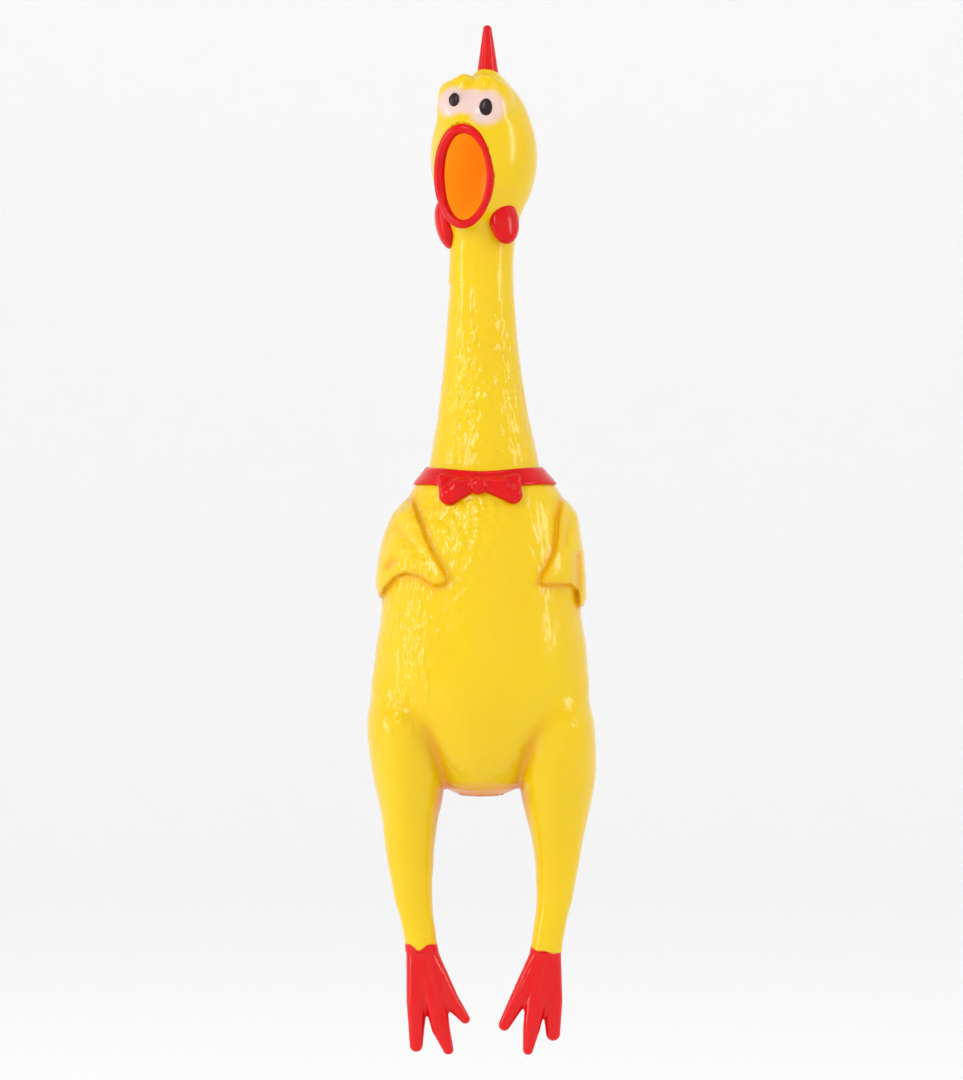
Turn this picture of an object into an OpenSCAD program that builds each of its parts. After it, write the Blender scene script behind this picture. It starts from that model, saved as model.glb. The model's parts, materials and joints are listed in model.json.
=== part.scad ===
// Squeaking rubber chicken: a hollow soft vinyl skin, cut into sections where it flexes,
// with its coloured mouldings and the reed sounder held in its throat.
// Frame: +Z towards the comb, -Y towards the belly, origin at the middle of the torso.

/* [Skin] */
// Wall of the soft skin
skin = 2; // [1.6:0.1:2.4]
// Running gap between skin sections that flex against each other
gap = 0.3; // [0.2:0.05:0.4]
// Fit gap between neighbours that stay together
seat = 0.05; // [0.03:0.01:0.1]

/* [Torso] */
// Height from the rump to the collar
torso_h = 99; // [84:1:120]
// Width across the belly
torso_w = 63; // [54:1:76]
// Depth from the back to the belly
torso_d = 54; // [46:1:65]
// Radius of the belly panel that is pressed in
panel_r = 16; // [13:0.5:19]

/* [Neck] */
// Length from the collar to the head
neck_l = 63.5; // [54:0.5:77]
// Radius where the neck leaves the collar
neck_root_r = 17.2; // [15:0.1:20]
// Radius under the head
neck_top_r = 9.4; // [8.8:0.1:11]

/* [Head] */
// Height from the neck to the crown
head_h = 55; // [48:0.5:66]
// Width across the cheeks
head_w = 32; // [28:0.5:38]
// Depth from the beak to the back of the head
head_d = 30.4; // [27:0.2:36]
// Turn of the head about the neck
head_turn = 24; // [0:1:40]
// Sideways tilt of the head
head_tilt = 4; // [0:1:6]
// Height of the open beak, across its rim
mouth_h = 31.4; // [26:0.2:33]
// Width of the open beak, across its rim
mouth_w = 19.2; // [16:0.2:22]
// Radius of the rolled rim of the beak
rim_r = 1.35; // [1:0.05:1.8]
// Height of the tallest point of the comb
comb_h = 14; // [10:0.5:18]
// Thickness of the comb at its root
comb_t = 6; // [4.5:0.1:7]
// Height of a wattle
wattle_h = 13.2; // [10:0.2:15]

/* [Collar and bow] */
// Height of the collar band
band_h = 6.4; // [5:0.1:8]
// How far the collar band stands proud
band_t = 1.4; // [1:0.1:2]
// Width of the bow across its loops
bow_w = 24; // [20:0.5:28]

/* [Legs] */
// Length from the top of the thigh to the ankle
leg_l = 79; // [70:1:94]
// Radius of the thigh
thigh_r = 11.3; // [10:0.1:12.5]
// Radius of the ankle
ankle_r = 5; // [4.4:0.1:6]
// Distance of the thigh's middle from the centre plane
hip_out = 22.6; // [20:0.1:26]
// Distance of the ankle's middle from the centre plane
ankle_out = 19.6; // [17:0.1:23]
// Length of the foot from the ankle to the middle toe
foot_l = 34.5; // [29:0.5:41]
// Radius of a toe at its tip
toe_r = 2.2; // [1.8:0.1:2.6]

/* [Sounder] */
// Outer radius of the sounder's barrel
barrel_r = 5.5; // [4.8:0.1:5.9]
// Length of the sounder's barrel
barrel_l = 26; // [22:0.5:30]
// Wall of the sounder's barrel
barrel_wall = 0.8; // [0.6:0.1:1.1]
// Length of the reed's free blade
reed_l = 14; // [11:0.5:16]
// Thickness of the reed
reed_t = 0.3; // [0.2:0.05:0.4]

/* [Hidden] */

YELLOW = "#F6CF12";
RED = "#E3101A";
ORANGE = "#F58A0A";
tiny = 0.01;
far = 200;

// How far the ball of a flexing section stands proud of its tube
neck_lip = 0.6;
leg_lip = 0.8;
// A ball reaches this far into its neighbour, as an angle below its equator
ball_tuck = 56;
// and this far into its own tube, as a share of its radius
ball_root = 0.35;

// Heights of the joints between sections
rump_z = -torso_h / 2;
collar_z = torso_h / 2;
head_z = collar_z + neck_l;
neck_joint = [for (f = [0.10, 0.29, 0.48, 0.655]) collar_z + f * neck_l];
ankle_z = rump_z - 0.55 * leg_l;
leg_joint = [for (f = [0.43, 0.228, 0]) ankle_z + f * leg_l];

// ---- Smooth forms: rows of [height, half width, half depth, x, y] and lofts through them ----

function span(rows, z, i = 0) = i >= len(rows) - 2 || z < rows[i + 1][0] ? i : span(rows, z, i + 1);
function slope(rows, i, c) =
    let (a = max(i - 1, 0), b = min(i + 1, len(rows) - 1))
    (rows[b][c] - rows[a][c]) / (rows[b][0] - rows[a][0]);
// Column c of the rows at height z, on a cubic curve through them
function at(rows, z, c) =
    let (q = min(max(z, rows[0][0]), rows[len(rows) - 1][0]), i = span(rows, q),
         h = rows[i + 1][0] - rows[i][0], t = (q - rows[i][0]) / h)
    rows[i][c] * (2 * t ^ 3 - 3 * t ^ 2 + 1) + h * slope(rows, i, c) * (t ^ 3 - 2 * t ^ 2 + t)
    + rows[i + 1][c] * (3 * t ^ 2 - 2 * t ^ 3) + h * slope(rows, i + 1, c) * (t ^ 3 - t ^ 2);
// The point of a form at height z, turned by angle from its front, and out from its surface
function skin_point(rows, z, angle, out = 0) =
    [at(rows, z, 3) + (at(rows, z, 1) + out) * sin(angle),
     at(rows, z, 4) - (at(rows, z, 2) + out) * cos(angle), z];
// The point on the front of a form at x and height z, and out from its surface
function front_point(rows, x, z, out = 0) =
    skin_point(rows, z, asin(x / (at(rows, z, 1) + out)), out);

// A closed solid from rings of points, all with the same number of sides
module rings(points, sides) {
    last = len(points) / sides - 1;
    polyhedron(points, concat(
        [[for (j = [0 : sides - 1]) j]],
        [for (i = [0 : last - 1], j = [0 : sides - 1])
            let (a = i * sides + j, b = i * sides + (j + 1) % sides) [a, a + sides, b + sides]],
        [for (i = [0 : last - 1], j = [0 : sides - 1])
            let (a = i * sides + j, b = i * sides + (j + 1) % sides) [a, b + sides, b]],
        [[for (j = [sides - 1 : -1 : 0]) last * sides + j]]));
}

module loft(rows, z0, z1, inset = 0, sides = 28, steps = 16) {
    rings([for (i = [0 : steps], j = [0 : sides - 1])
        let (z = z0 + (z1 - z0) * i / steps, a = 360 * j / sides)
        [at(rows, z, 3) + (at(rows, z, 1) - inset) * cos(a),
         at(rows, z, 4) + (at(rows, z, 2) - inset) * sin(a), z]], sides);
}

// The part of a ball's shell that a section wears at its joint, tucked up or down
module ball_shell(r, up = false) {
    low = up ? -ball_root * r : -r * sin(ball_tuck);
    high = up ? r * sin(ball_tuck) : ball_root * r;
    intersection() {
        difference() {
            sphere(r, $fn = 64);
            sphere(r - skin, $fn = 64);
        }
        translate([-far / 2, -far / 2, low]) cube([far, far, high - low]);
    }
}

// ---- Torso ----

half_w = torso_w / 2;
half_d = torso_d / 2;
// Shares of the torso's height, half width, half depth, and the shift of its middle to the back
TORSO = [
    [0.00, 0.30, 0.34, 0.10], [0.03, 0.43, 0.50, 0.08], [0.10, 0.66, 0.72, 0.05],
    [0.20, 0.86, 0.90, 0.01], [0.32, 0.97, 1.00, -0.03], [0.42, 1.00, 1.00, -0.05],
    [0.55, 0.97, 0.97, -0.05], [0.68, 0.935, 0.93, -0.04], [0.78, 0.90, 0.87, -0.02],
    [0.86, 0.83, 0.80, 0], [0.93, 0.71, 0.71, 0]];
torso_rows = concat(
    [for (s = TORSO) [rump_z + s[0] * torso_h, s[1] * half_w, s[2] * half_d, 0, s[3] * half_d]],
    [[collar_z, neck_root_r, neck_root_r, 0, 0]]);

panel_z = -0.08 * torso_h;

module torso_form(inset = 0) {
    loft(torso_rows, rump_z + inset, collar_z, inset, 32, 20);
    for (side = [1, -1]) leg_loft(side, leg_joint[0], ankle_z + leg_l - inset, inset);
}

module torso_solid() {
    torso_form();
    neck_tube(collar_z - tiny, neck_joint[0]);
}

module torso_hollow() {
    torso_form(skin);
    neck_tube(collar_z - skin, neck_joint[0] + tiny, skin);
}

// A round way through the front wall of the belly
module panel_cut(r) {
    translate([0, -skin, panel_z]) rotate([90, 0, 0]) cylinder(r = r, h = far, $fn = 64);
}

module torso_skin() {
    color(YELLOW) difference() {
        torso_solid();
        torso_hollow();
        neck_socket(0);
        for (side = [1, -1]) leg_socket(side, 0);
        panel_cut(panel_r + gap);
    }
}

module belly_panel() {
    color(YELLOW) intersection() {
        difference() {
            torso_form();
            torso_form(skin);
        }
        panel_cut(panel_r);
    }
}

// ---- Wings: a folded wing in relief on each flank ----

wing_r = 4.6;
wing_tip_r = 1.5;
// Angles from the front of the wing's points, for the left and the right wing
SHOULDER = 66;
ELBOW = 97;
function wing_tip(side) = side > 0 ? 36 : 26;

module wing(side) {
    shoulder = skin_point(torso_rows, 0.365 * torso_h, SHOULDER, -0.25 * wing_r);
    elbow = skin_point(torso_rows, 0.12 * torso_h, ELBOW, -0.45 * wing_r);
    middle = skin_point(torso_rows, 0.17 * torso_h, (wing_tip(side) + ELBOW) / 2, -0.2 * wing_r);
    tip = skin_point(torso_rows, 0.15 * torso_h, wing_tip(side), 0.1 * wing_tip_r);
    color(YELLOW) difference() {
        scale([side, 1, 1]) {
            hull() {
                translate(shoulder) sphere(0.75 * wing_r, $fn = 24);
                translate(elbow) sphere(wing_r, $fn = 24);
            }
            hull() {
                translate(shoulder) sphere(0.75 * wing_r, $fn = 24);
                translate(middle) sphere(0.6 * wing_r, $fn = 24);
                translate(tip) sphere(wing_tip_r, $fn = 24);
            }
        }
        loft(torso_rows, rump_z, collar_z, -seat, 32, 20);
    }
}

// ---- Collar band and bow ----

band_z = collar_z - 0.3;

module bow_band() {
    color(RED) difference() {
        loft(torso_rows, band_z - band_h, band_z, -band_t, 40, 3);
        loft(torso_rows, rump_z, collar_z, -seat, 32, 20);
    }
}

module bow_tie() {
    r = 0.075 * bow_w;
    knot = front_point(torso_rows, 0, band_z - 0.9 * band_h, band_t);
    color(RED) difference() {
        union() {
            hull() for (rise = [0.7, -0.7]) translate(knot + [0, 0, rise]) sphere(0.1 * bow_w, $fn = 20);
            for (side = [1, -1]) hull() {
                translate(knot) sphere(r, $fn = 20);
                translate(front_point(torso_rows, side * (bow_w / 2 - r), band_z - 0.55 * band_h, band_t))
                    sphere(r, $fn = 20);
                translate(front_point(torso_rows, side * 0.43 * bow_w, band_z - 1.55 * band_h, band_t))
                    sphere(r, $fn = 20);
            }
        }
        loft(torso_rows, rump_z, collar_z, -seat, 32, 20);
        loft(torso_rows, band_z - band_h - seat, band_z + seat, -band_t - seat, 40, 3);
    }
}

// ---- Neck: three sections that flex on balls, with the torso below and the head above ----

// Shares of the neck's length, and of the step from its top radius to its root radius
NECK = [[0, 1], [0.10, 0.81], [0.20, 0.64], [0.32, 0.47], [0.48, 0.31], [0.64, 0.20],
    [0.80, 0.09], [0.92, 0.03], [1, 0]];
neck_rows = [for (s = NECK)
    let (r = neck_top_r + s[1] * (neck_root_r - neck_top_r)) [collar_z + s[0] * neck_l, r, r, 0, 0]];
function neck_ball(k) = at(neck_rows, neck_joint[k], 1) + neck_lip;

module neck_tube(z0, z1, inset = 0, steps = 8) {
    rotate_extrude($fn = 64) polygon(concat([[0, z0]],
        [for (i = [0 : steps]) let (z = z0 + (z1 - z0) * i / steps) [at(neck_rows, z, 1) - inset, z]],
        [[0, z1]]));
}

module neck_socket(k) {
    translate([0, 0, neck_joint[k]]) sphere(neck_ball(k) + gap, $fn = 64);
}

module neck_section(k) {
    color(YELLOW) difference() {
        union() {
            difference() {
                neck_tube(neck_joint[k], neck_joint[k + 1]);
                neck_tube(neck_joint[k] - tiny, neck_joint[k + 1] + tiny, skin);
            }
            translate([0, 0, neck_joint[k]]) ball_shell(neck_ball(k));
        }
        neck_socket(k + 1);
    }
}

// ---- Head, in its own frame at the top of the neck ----

module in_head() {
    translate([0, 0, head_z]) rotate([0, head_tilt, 0]) rotate([0, 0, -head_turn]) children();
}

// Shares of the head's height, half width and half depth, and the shift of its middle to the back
HEAD = [[0.09, 0.68, 0.76, -0.13], [0.20, 0.79, 0.86, -0.19], [0.31, 0.89, 0.93, -0.23],
    [0.42, 0.97, 0.99, -0.25], [0.55, 1.00, 1.00, -0.26], [0.65, 0.965, 0.98, -0.26],
    [0.76, 0.87, 0.92, -0.24], [0.855, 0.73, 0.79, -0.18], [0.93, 0.54, 0.59, -0.10],
    [0.98, 0.29, 0.32, -0.06], [1.00, 0.12, 0.13, -0.05]];
head_rows = concat([[0, neck_top_r, neck_top_r, 0, 0]],
    [for (s = HEAD)
        [s[0] * head_h, s[1] * head_w / 2, s[2] * head_d / 2, 0, s[3] * head_d / 2]]);

mouth_z = 0.395 * head_h;
// Half sizes of the line along the middle of the beak's rim
lip_u = mouth_w / 2 - rim_r;
lip_w = mouth_h / 2 - rim_r;
cup_wall = 1.4;
cup_back = 0.12 * head_d;
cup_mid = -0.3 * head_d;

// A flat oval, as a column that runs through the front of the head
module mouth_column(grow, depth) {
    rotate([90, 0, 0]) translate([0, mouth_z, depth])
        linear_extrude(far) scale([(lip_u + grow) / lip_w, (lip_w + grow) / lip_w]) circle(lip_w, $fn = 36);
}

// The rim's round section, swept along the oval where the beak meets the head
module rim_sweep(r, steps = 36, sides = 10) {
    path = [for (i = [0 : steps - 1]) let (t = 360 * i / steps)
        front_point(head_rows, lip_u * sin(t), mouth_z + lip_w * cos(t), 0.3 * rim_r)];
    points = [for (i = [0 : steps - 1], j = [0 : sides - 1])
        let (ahead = path[(i + 1) % steps] - path[(i + steps - 1) % steps],
             along = ahead / norm(ahead),
             out = cross(along, [0, 1, 0]) / norm(cross(along, [0, 1, 0])),
             side = cross(out, along), a = 360 * j / sides)
        path[i] + r * (cos(a) * out + sin(a) * side)];
    function k(i, j) = (i % steps) * sides + j % sides;
    polyhedron(points, [for (i = [0 : steps - 1], j = [0 : sides - 1], half = [0, 1])
        half ? [k(i, j), k(i + 1, j + 1), k(i + 1, j)] : [k(i, j), k(i, j + 1), k(i + 1, j + 1)]]);
}

module head_form(inset = 0) {
    loft(head_rows, inset > 0 ? 0 : seat, head_h - inset, inset, 32, 20);
}

// The white field round both eyes
eye_z = 0.785 * head_h;
eye_out = 5.2 / 32 * head_w;
module eye_column(grow) {
    hull() for (side = [1, -1])
        translate([side * 0.17 * head_w, -0.2 * head_d, eye_z]) rotate([90, 0, 0])
            cylinder(r = 0.155 * head_w + grow, h = far, $fn = 24);
}

pupil = [1.9, 1.1, 2.6];
module pupil_form(side, grow) {
    translate(front_point(head_rows, side * eye_out, eye_z, -0.5 * pupil.y))
        scale([pupil.x + grow, pupil.y + grow, pupil.z + grow]) sphere(1, $fn = 20);
}

// The top of the neck, cut off square to the head
module neck_crown() {
    color(YELLOW) difference() {
        union() {
            difference() {
                neck_tube(neck_joint[3], head_z + skin);
                neck_tube(neck_joint[3] - tiny, head_z + skin + tiny, skin);
            }
            translate([0, 0, neck_joint[3]]) ball_shell(neck_ball(3));
        }
        in_head() translate([-far / 2, -far / 2, 0]) cube(far);
    }
}

module head_skin() {
    color(YELLOW) in_head() difference() {
        head_form();
        head_form(skin);
        mouth_column(0, 0);
        rim_sweep(rim_r + seat);
        eye_column(seat);
    }
}

module eye_mask() {
    color("#F7E3DC") in_head() difference() {
        intersection() {
            head_form();
            eye_column(0);
        }
        head_form(skin);
        for (side = [1, -1]) pupil_form(side, seat);
    }
}

module pupil_node(side) {
    color("#160808") in_head() pupil_form(side, 0);
}

// The rolled red edge of the open beak
module beak_rim() {
    color(RED) in_head() rim_sweep(rim_r);
}

// The orange bowl behind the rim, with the throat under it that grips the sounder and opens into it
sleeve_r = min(barrel_r + 1.4, neck_top_r - skin - seat);
sleeve_low = 0.01 * head_h;
sleeve_high = 0.29 * head_h;
module mouth_bowl(inset, steps = 7, sides = 36) {
    grow = -seat - inset;
    sections = concat([for (i = [0 : steps]) let (t = 6 + (90 - 6) * i / steps)
        [sin(t), cup_mid + (cup_back - inset - cup_mid) * cos(t)]], [[1, -head_d]]);
    intersection() {
        rings([for (s = sections, j = [0 : sides - 1]) let (a = 360 * j / sides)
            [s[0] * (lip_u + grow) * cos(a), s[1], mouth_z + s[0] * (lip_w + grow) * sin(a)]], sides);
        head_form(inset > 0 ? -cup_wall : 0.8 * rim_r);
    }
}

module mouth_cup() {
    color(ORANGE) in_head() difference() {
        union() {
            mouth_bowl(0);
            translate([0, 0, sleeve_low]) cylinder(r = sleeve_r, h = sleeve_high - sleeve_low, $fn = 48);
        }
        mouth_bowl(cup_wall);
        translate([0, 0, sleeve_low - tiny])
            cylinder(r = barrel_r + seat, h = sleeve_high - sleeve_low - cup_wall, $fn = 48);
        rim_sweep(rim_r + seat);
    }
}

// Points of the comb from front to back: [share of the head's height, y share, lean, share of comb_h]
COMB = [[1.00, -0.10, 0.02, 1.00], [0.955, 0.28, 0.14, 0.62], [0.83, 0.62, 0.24, 0.42]];
module comb() {
    color(RED) in_head() difference() {
        union() {
            for (p = COMB) {
                y = p[1] * head_d / 2;
                hull() {
                    translate([0, y, p[0] * head_h - 0.3 * comb_t]) scale([1, 1.15, 1])
                        sphere(comb_t / 2, $fn = 20);
                    translate([0, y + p[2] * head_d, p[0] * head_h + p[3] * comb_h - 0.18 * comb_t])
                        sphere(0.18 * comb_t, $fn = 16);
                }
            }
            for (i = [0, 1]) hull() for (p = [COMB[i], COMB[i + 1]])
                translate([0, p[1] * head_d / 2, p[0] * head_h - 0.2 * comb_t])
                    sphere(0.42 * comb_t, $fn = 16);
        }
        head_form(-seat);
    }
}

module wattle(side) {
    color(RED) in_head() difference() {
        translate([side * 0.30 * head_w, -0.21 * head_d, 0.135 * head_h]) rotate([0, -side * 8, side * 25])
            scale([wattle_h * 0.34, wattle_h * 0.30, wattle_h / 2]) sphere(1, $fn = 24);
        head_form(-seat);
        translate([0, 0, -far]) cylinder(r = neck_top_r + seat, h = far + tiny, $fn = 48);
        rim_sweep(rim_r + seat);
    }
}

// ---- Sounder, standing in the throat sleeve along the head's own axis ----

barrel_top = 0.18 * head_h;
barrel_low = barrel_top - barrel_l;
bore_r = barrel_r - barrel_wall;
plug_r = bore_r - seat;
plug_h = 3;
cap_h = 1.2;
tongue_r = 0.75 * bore_r;
reed_root = barrel_low + plug_h + 2.5;
reed_w = 1.3 * tongue_r;
reed_lift = 3.5;
flat_y = -0.3;

module sounder_barrel() {
    color("#F2EFE6") in_head() difference() {
        translate([0, 0, barrel_low]) cylinder(r = barrel_r, h = barrel_l, $fn = 64);
        translate([0, 0, barrel_low - tiny]) cylinder(r = bore_r, h = barrel_l + 1, $fn = 64);
    }
}

// The plug in the barrel's low end, and the grooved tongue that the reed beats on
module reed_carrier() {
    color("#E8E4DA") in_head() difference() {
        union() {
            translate([0, 0, barrel_low]) cylinder(r = plug_r, h = plug_h, $fn = 48);
            intersection() {
                translate([0, 0, barrel_low]) cylinder(r = tongue_r, h = reed_root - barrel_low + reed_l, $fn = 48);
                translate([-far / 2, flat_y, barrel_low]) cube([far, far, far]);
            }
        }
        translate([-0.3 * tongue_r, flat_y - 1, barrel_low - tiny])
            cube([0.6 * tongue_r, 1 + 0.6 * tongue_r, reed_root - barrel_low + 0.85 * reed_l]);
    }
}

// The thin blade that sounds, standing a little off the tongue
module reed() {
    color("#C8A24A") in_head() translate([-reed_w / 2, flat_y - seat, reed_root]) rotate([reed_lift, 0, 0])
        translate([0, -reed_t, 0]) cube([reed_w, reed_t, reed_l]);
}

// The bar under the reed's root that keeps the tongue's flat side shut below the blade
module reed_clamp() {
    color("#D8262A") in_head() intersection() {
        translate([0, 0, barrel_low + plug_h + seat]) cylinder(r = plug_r, h = reed_root - gap - barrel_low - plug_h - seat, $fn = 48);
        translate([-0.8 * tongue_r, flat_y - seat - 1.6, barrel_low]) cube([1.6 * tongue_r, 1.6, far]);
    }
}

// The pierced disc at the barrel's mouth end
module sounder_cap() {
    holes = 6;
    color("#F2EFE6") in_head() difference() {
        translate([0, 0, barrel_top - cap_h]) cylinder(r = plug_r, h = cap_h, $fn = 48);
        for (i = [0 : holes - 1]) rotate(i * 360 / holes)
            translate([0.6 * bore_r, 0, barrel_top - cap_h - tiny]) cylinder(r = 0.14 * bore_r, h = cap_h + 1, $fn = 16);
        translate([0, 0, barrel_top - cap_h - tiny]) cylinder(r = 0.2 * bore_r, h = cap_h + 1, $fn = 16);
    }
}

// ---- Legs: a thigh and a shank that flex on balls, and a solid foot ----

// Shares of the leg's length from the ankle up, of the step from the ankle's radius to the thigh's,
// and of the step from the ankle's distance out to the thigh's
LEG = [[0, 0, 0], [0.089, 0.05, 0.33], [0.165, 0.15, 0.60], [0.24, 0.26, 0.80], [0.316, 0.39, 0.90],
    [0.392, 0.54, 0.90], [0.468, 0.71, 0.85], [0.544, 0.88, 0.86], [0.671, 1.00, 1.00],
    [0.772, 0.98, 1.15], [0.90, 0.84, 1.10], [1, 0.50, 0.80]];
function leg_rows(side) = [for (s = LEG)
    let (r = ankle_r + s[1] * (thigh_r - ankle_r))
    [ankle_z + s[0] * leg_l, r, r, side * (ankle_out + s[2] * (hip_out - ankle_out)), 0]];
function leg_ball(k) = at(leg_rows(1), leg_joint[k], 1) + leg_lip;
function leg_pivot(side, k) = [at(leg_rows(side), leg_joint[k], 3), 0, leg_joint[k]];

module leg_loft(side, z0, z1, inset = 0, steps = 10) {
    loft(leg_rows(side), z0, z1, inset, 24, steps);
}

module leg_socket(side, k) {
    translate(leg_pivot(side, k)) sphere(leg_ball(k) + gap, $fn = 64);
}

module leg_section(side, k) {
    color(YELLOW) difference() {
        union() {
            difference() {
                leg_loft(side, leg_joint[k + 1], leg_joint[k], 0, 5);
                leg_loft(side, leg_joint[k + 1] - tiny, leg_joint[k] + tiny, skin, 5);
            }
            translate(leg_pivot(side, k)) ball_shell(leg_ball(k), true);
        }
        leg_socket(side, k + 1);
    }
}

// Toes as [x of the knuckle, x of the tip, share of foot_l at the knuckle, and at the tip]
TOES = [[0.95, 1.05, 0.55, 0.91], [0.70, 0.61, 0.62, 1.00], [0.48, 0.26, 0.55, 0.76]];
module foot(side) {
    pivot = leg_pivot(1, 2);
    function toe(p, lean) = [p[0] * ankle_out, -lean, ankle_z - p[1] * foot_l];
    color(RED) scale([side, 1, 1]) {
        translate(pivot) sphere(leg_ball(2), $fn = 48);
        hull() {
            translate(pivot - [0, 0, 0.12 * foot_l]) sphere(0.92 * ankle_r, $fn = 24);
            for (t = TOES) translate(toe([t[0], t[2]], 1)) sphere(1.15 * toe_r, $fn = 20);
        }
        for (t = TOES) hull() {
            translate(toe([t[0], t[2]], 1)) sphere(1.15 * toe_r, $fn = 20);
            translate(toe([t[1], t[3]], 3) + [0, 0, toe_r]) sphere(toe_r, $fn = 20);
        }
    }
}

torso_skin();
belly_panel();
wing(1);  // wing_left
wing(-1);  // wing_right
bow_band();
bow_tie();
neck_section(0);  // neck_section_1
neck_section(1);  // neck_section_2
neck_section(2);  // neck_section_3
neck_crown();
head_skin();
eye_mask();
pupil_node(1);  // pupil_left
pupil_node(-1);  // pupil_right
comb();
beak_rim();
mouth_cup();
wattle(1);  // wattle_left
wattle(-1);  // wattle_right
sounder_barrel();
reed_carrier();
reed_clamp();
reed();
sounder_cap();
leg_section(1, 0);  // thigh_left
leg_section(-1, 0);  // thigh_right
leg_section(1, 1);  // shank_left
leg_section(-1, 1);  // shank_right
foot(1);  // foot_left
foot(-1);  // foot_right
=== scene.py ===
import json
import math

import bpy
import numpy as np
from bpy.props import FloatProperty, PointerProperty, StringProperty
from mathutils import Matrix, Vector


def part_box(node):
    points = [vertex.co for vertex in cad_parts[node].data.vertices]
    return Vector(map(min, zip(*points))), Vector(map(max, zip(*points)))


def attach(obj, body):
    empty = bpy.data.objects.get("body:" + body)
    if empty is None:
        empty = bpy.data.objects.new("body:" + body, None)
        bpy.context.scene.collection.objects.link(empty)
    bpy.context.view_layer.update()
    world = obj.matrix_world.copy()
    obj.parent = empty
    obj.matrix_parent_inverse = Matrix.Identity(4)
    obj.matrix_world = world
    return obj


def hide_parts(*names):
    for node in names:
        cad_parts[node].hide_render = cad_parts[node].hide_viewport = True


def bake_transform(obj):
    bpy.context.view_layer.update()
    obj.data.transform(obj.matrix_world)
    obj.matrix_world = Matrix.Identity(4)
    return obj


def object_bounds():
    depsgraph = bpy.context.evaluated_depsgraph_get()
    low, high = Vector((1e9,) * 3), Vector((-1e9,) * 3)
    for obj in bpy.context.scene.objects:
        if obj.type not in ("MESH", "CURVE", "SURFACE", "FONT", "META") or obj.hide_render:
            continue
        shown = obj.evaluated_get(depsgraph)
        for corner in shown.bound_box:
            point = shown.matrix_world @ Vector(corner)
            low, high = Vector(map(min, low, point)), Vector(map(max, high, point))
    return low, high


bl_info = {
    "name": "Rubber Chicken",
    "version": (1, 0, 0),
    "blender": (4, 5, 0),
    "location": "View3D > Sidebar > Chicken",
    "description": "Builds a squeaking rubber chicken of soft vinyl on its packed frame",
    "category": "Object",
}

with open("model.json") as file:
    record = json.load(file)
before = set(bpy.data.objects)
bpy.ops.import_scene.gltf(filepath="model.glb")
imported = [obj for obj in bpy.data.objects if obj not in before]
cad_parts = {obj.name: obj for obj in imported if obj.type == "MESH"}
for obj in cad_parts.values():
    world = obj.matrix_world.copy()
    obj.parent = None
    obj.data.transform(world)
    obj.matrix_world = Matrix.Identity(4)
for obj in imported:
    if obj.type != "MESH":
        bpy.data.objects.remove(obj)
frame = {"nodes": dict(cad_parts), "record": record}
CAD_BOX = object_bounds()

MM = 0.001
JOINTS = {j["name"]: j for j in frame["record"]["behaviour"]["joints"]}


def joint_mm(name):
    """Where a hinge sits, in millimetres."""
    return np.array(JOINTS[name]["pos_m"]) / MM


def box_mm(node):
    """The lowest and highest corner of a node, in millimetres."""
    lo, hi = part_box(node)
    return np.array(lo) / MM, np.array(hi) / MM


# Heights that the skin's own forms hang on, in millimetres, all taken from the frame
COLLAR_Z = box_mm("bow_band")[1][2] + 0.3
ANKLE_Z = joint_mm("ankle_left")[2]
RUMP_Z = -COLLAR_Z


# ---- Smooth solids, as distances in millimetres: below nought inside, above nought outside ----

def join(a, b, soft):
    """Both solids as one, with a fillet about as wide as soft where they meet."""
    h = np.clip(0.5 + 0.5 * (b - a) / soft, 0, 1)
    return b + (a - b) * h - soft * h * (1 - h)


def carve(a, b, soft):
    """The first solid with the second taken out of it, and a rounded edge."""
    return -join(-a, b, soft)


class Loft:
    """Ovals stacked along Z, from rows of height, half width, half depth, x and y of the middle."""

    def __init__(self, rows):
        rows = np.array(rows, float)
        self.low, self.high = rows[0, 0], rows[-1, 0]
        self.heights = np.linspace(self.low, self.high, 500)
        slopes = np.gradient(rows[:, 1:], rows[:, 0], axis=0)
        i = np.clip(np.searchsorted(rows[:, 0], self.heights, "right") - 1, 0, len(rows) - 2)
        step = (rows[i + 1, 0] - rows[i, 0])[:, None]
        t = (self.heights - rows[i, 0])[:, None] / step
        self.columns = (
            rows[i, 1:] * (2 * t**3 - 3 * t**2 + 1) + step * slopes[i] * (t**3 - 2 * t**2 + t)
            + rows[i + 1, 1:] * (3 * t**2 - 2 * t**3) + step * slopes[i + 1] * (t**3 - t**2)
        ).T

    def at(self, z):
        z = np.clip(z, self.low, self.high)
        return [np.interp(z, self.heights, c) for c in self.columns]

    def distance(self, x, y, z):
        a, b, cx, cy = self.at(z)
        px, py = x - cx, y - cy
        k0 = np.sqrt((px / a) ** 2 + (py / b) ** 2)
        k1 = np.sqrt((px / a**2) ** 2 + (py / b**2) ** 2)
        side = np.where(k0 < 0.05, -np.minimum(a, b), k0 * (k0 - 1) / np.maximum(k1, 1e-4))
        cap = np.maximum(z - self.high, self.low - z)
        return np.hypot(np.maximum(side, 0), np.maximum(cap, 0)) + np.minimum(np.maximum(side, cap), 0)

    def front(self, x, z, out=0.0):
        """The point on the form's front at x and height z, and out from its surface."""
        a, b, cx, cy = self.at(z)
        s = np.clip((x - cx) / a, -0.999, 0.999)
        return np.array([x + out * s, cy - (b + out) * math.sqrt(1 - s * s), z], float)


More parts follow.
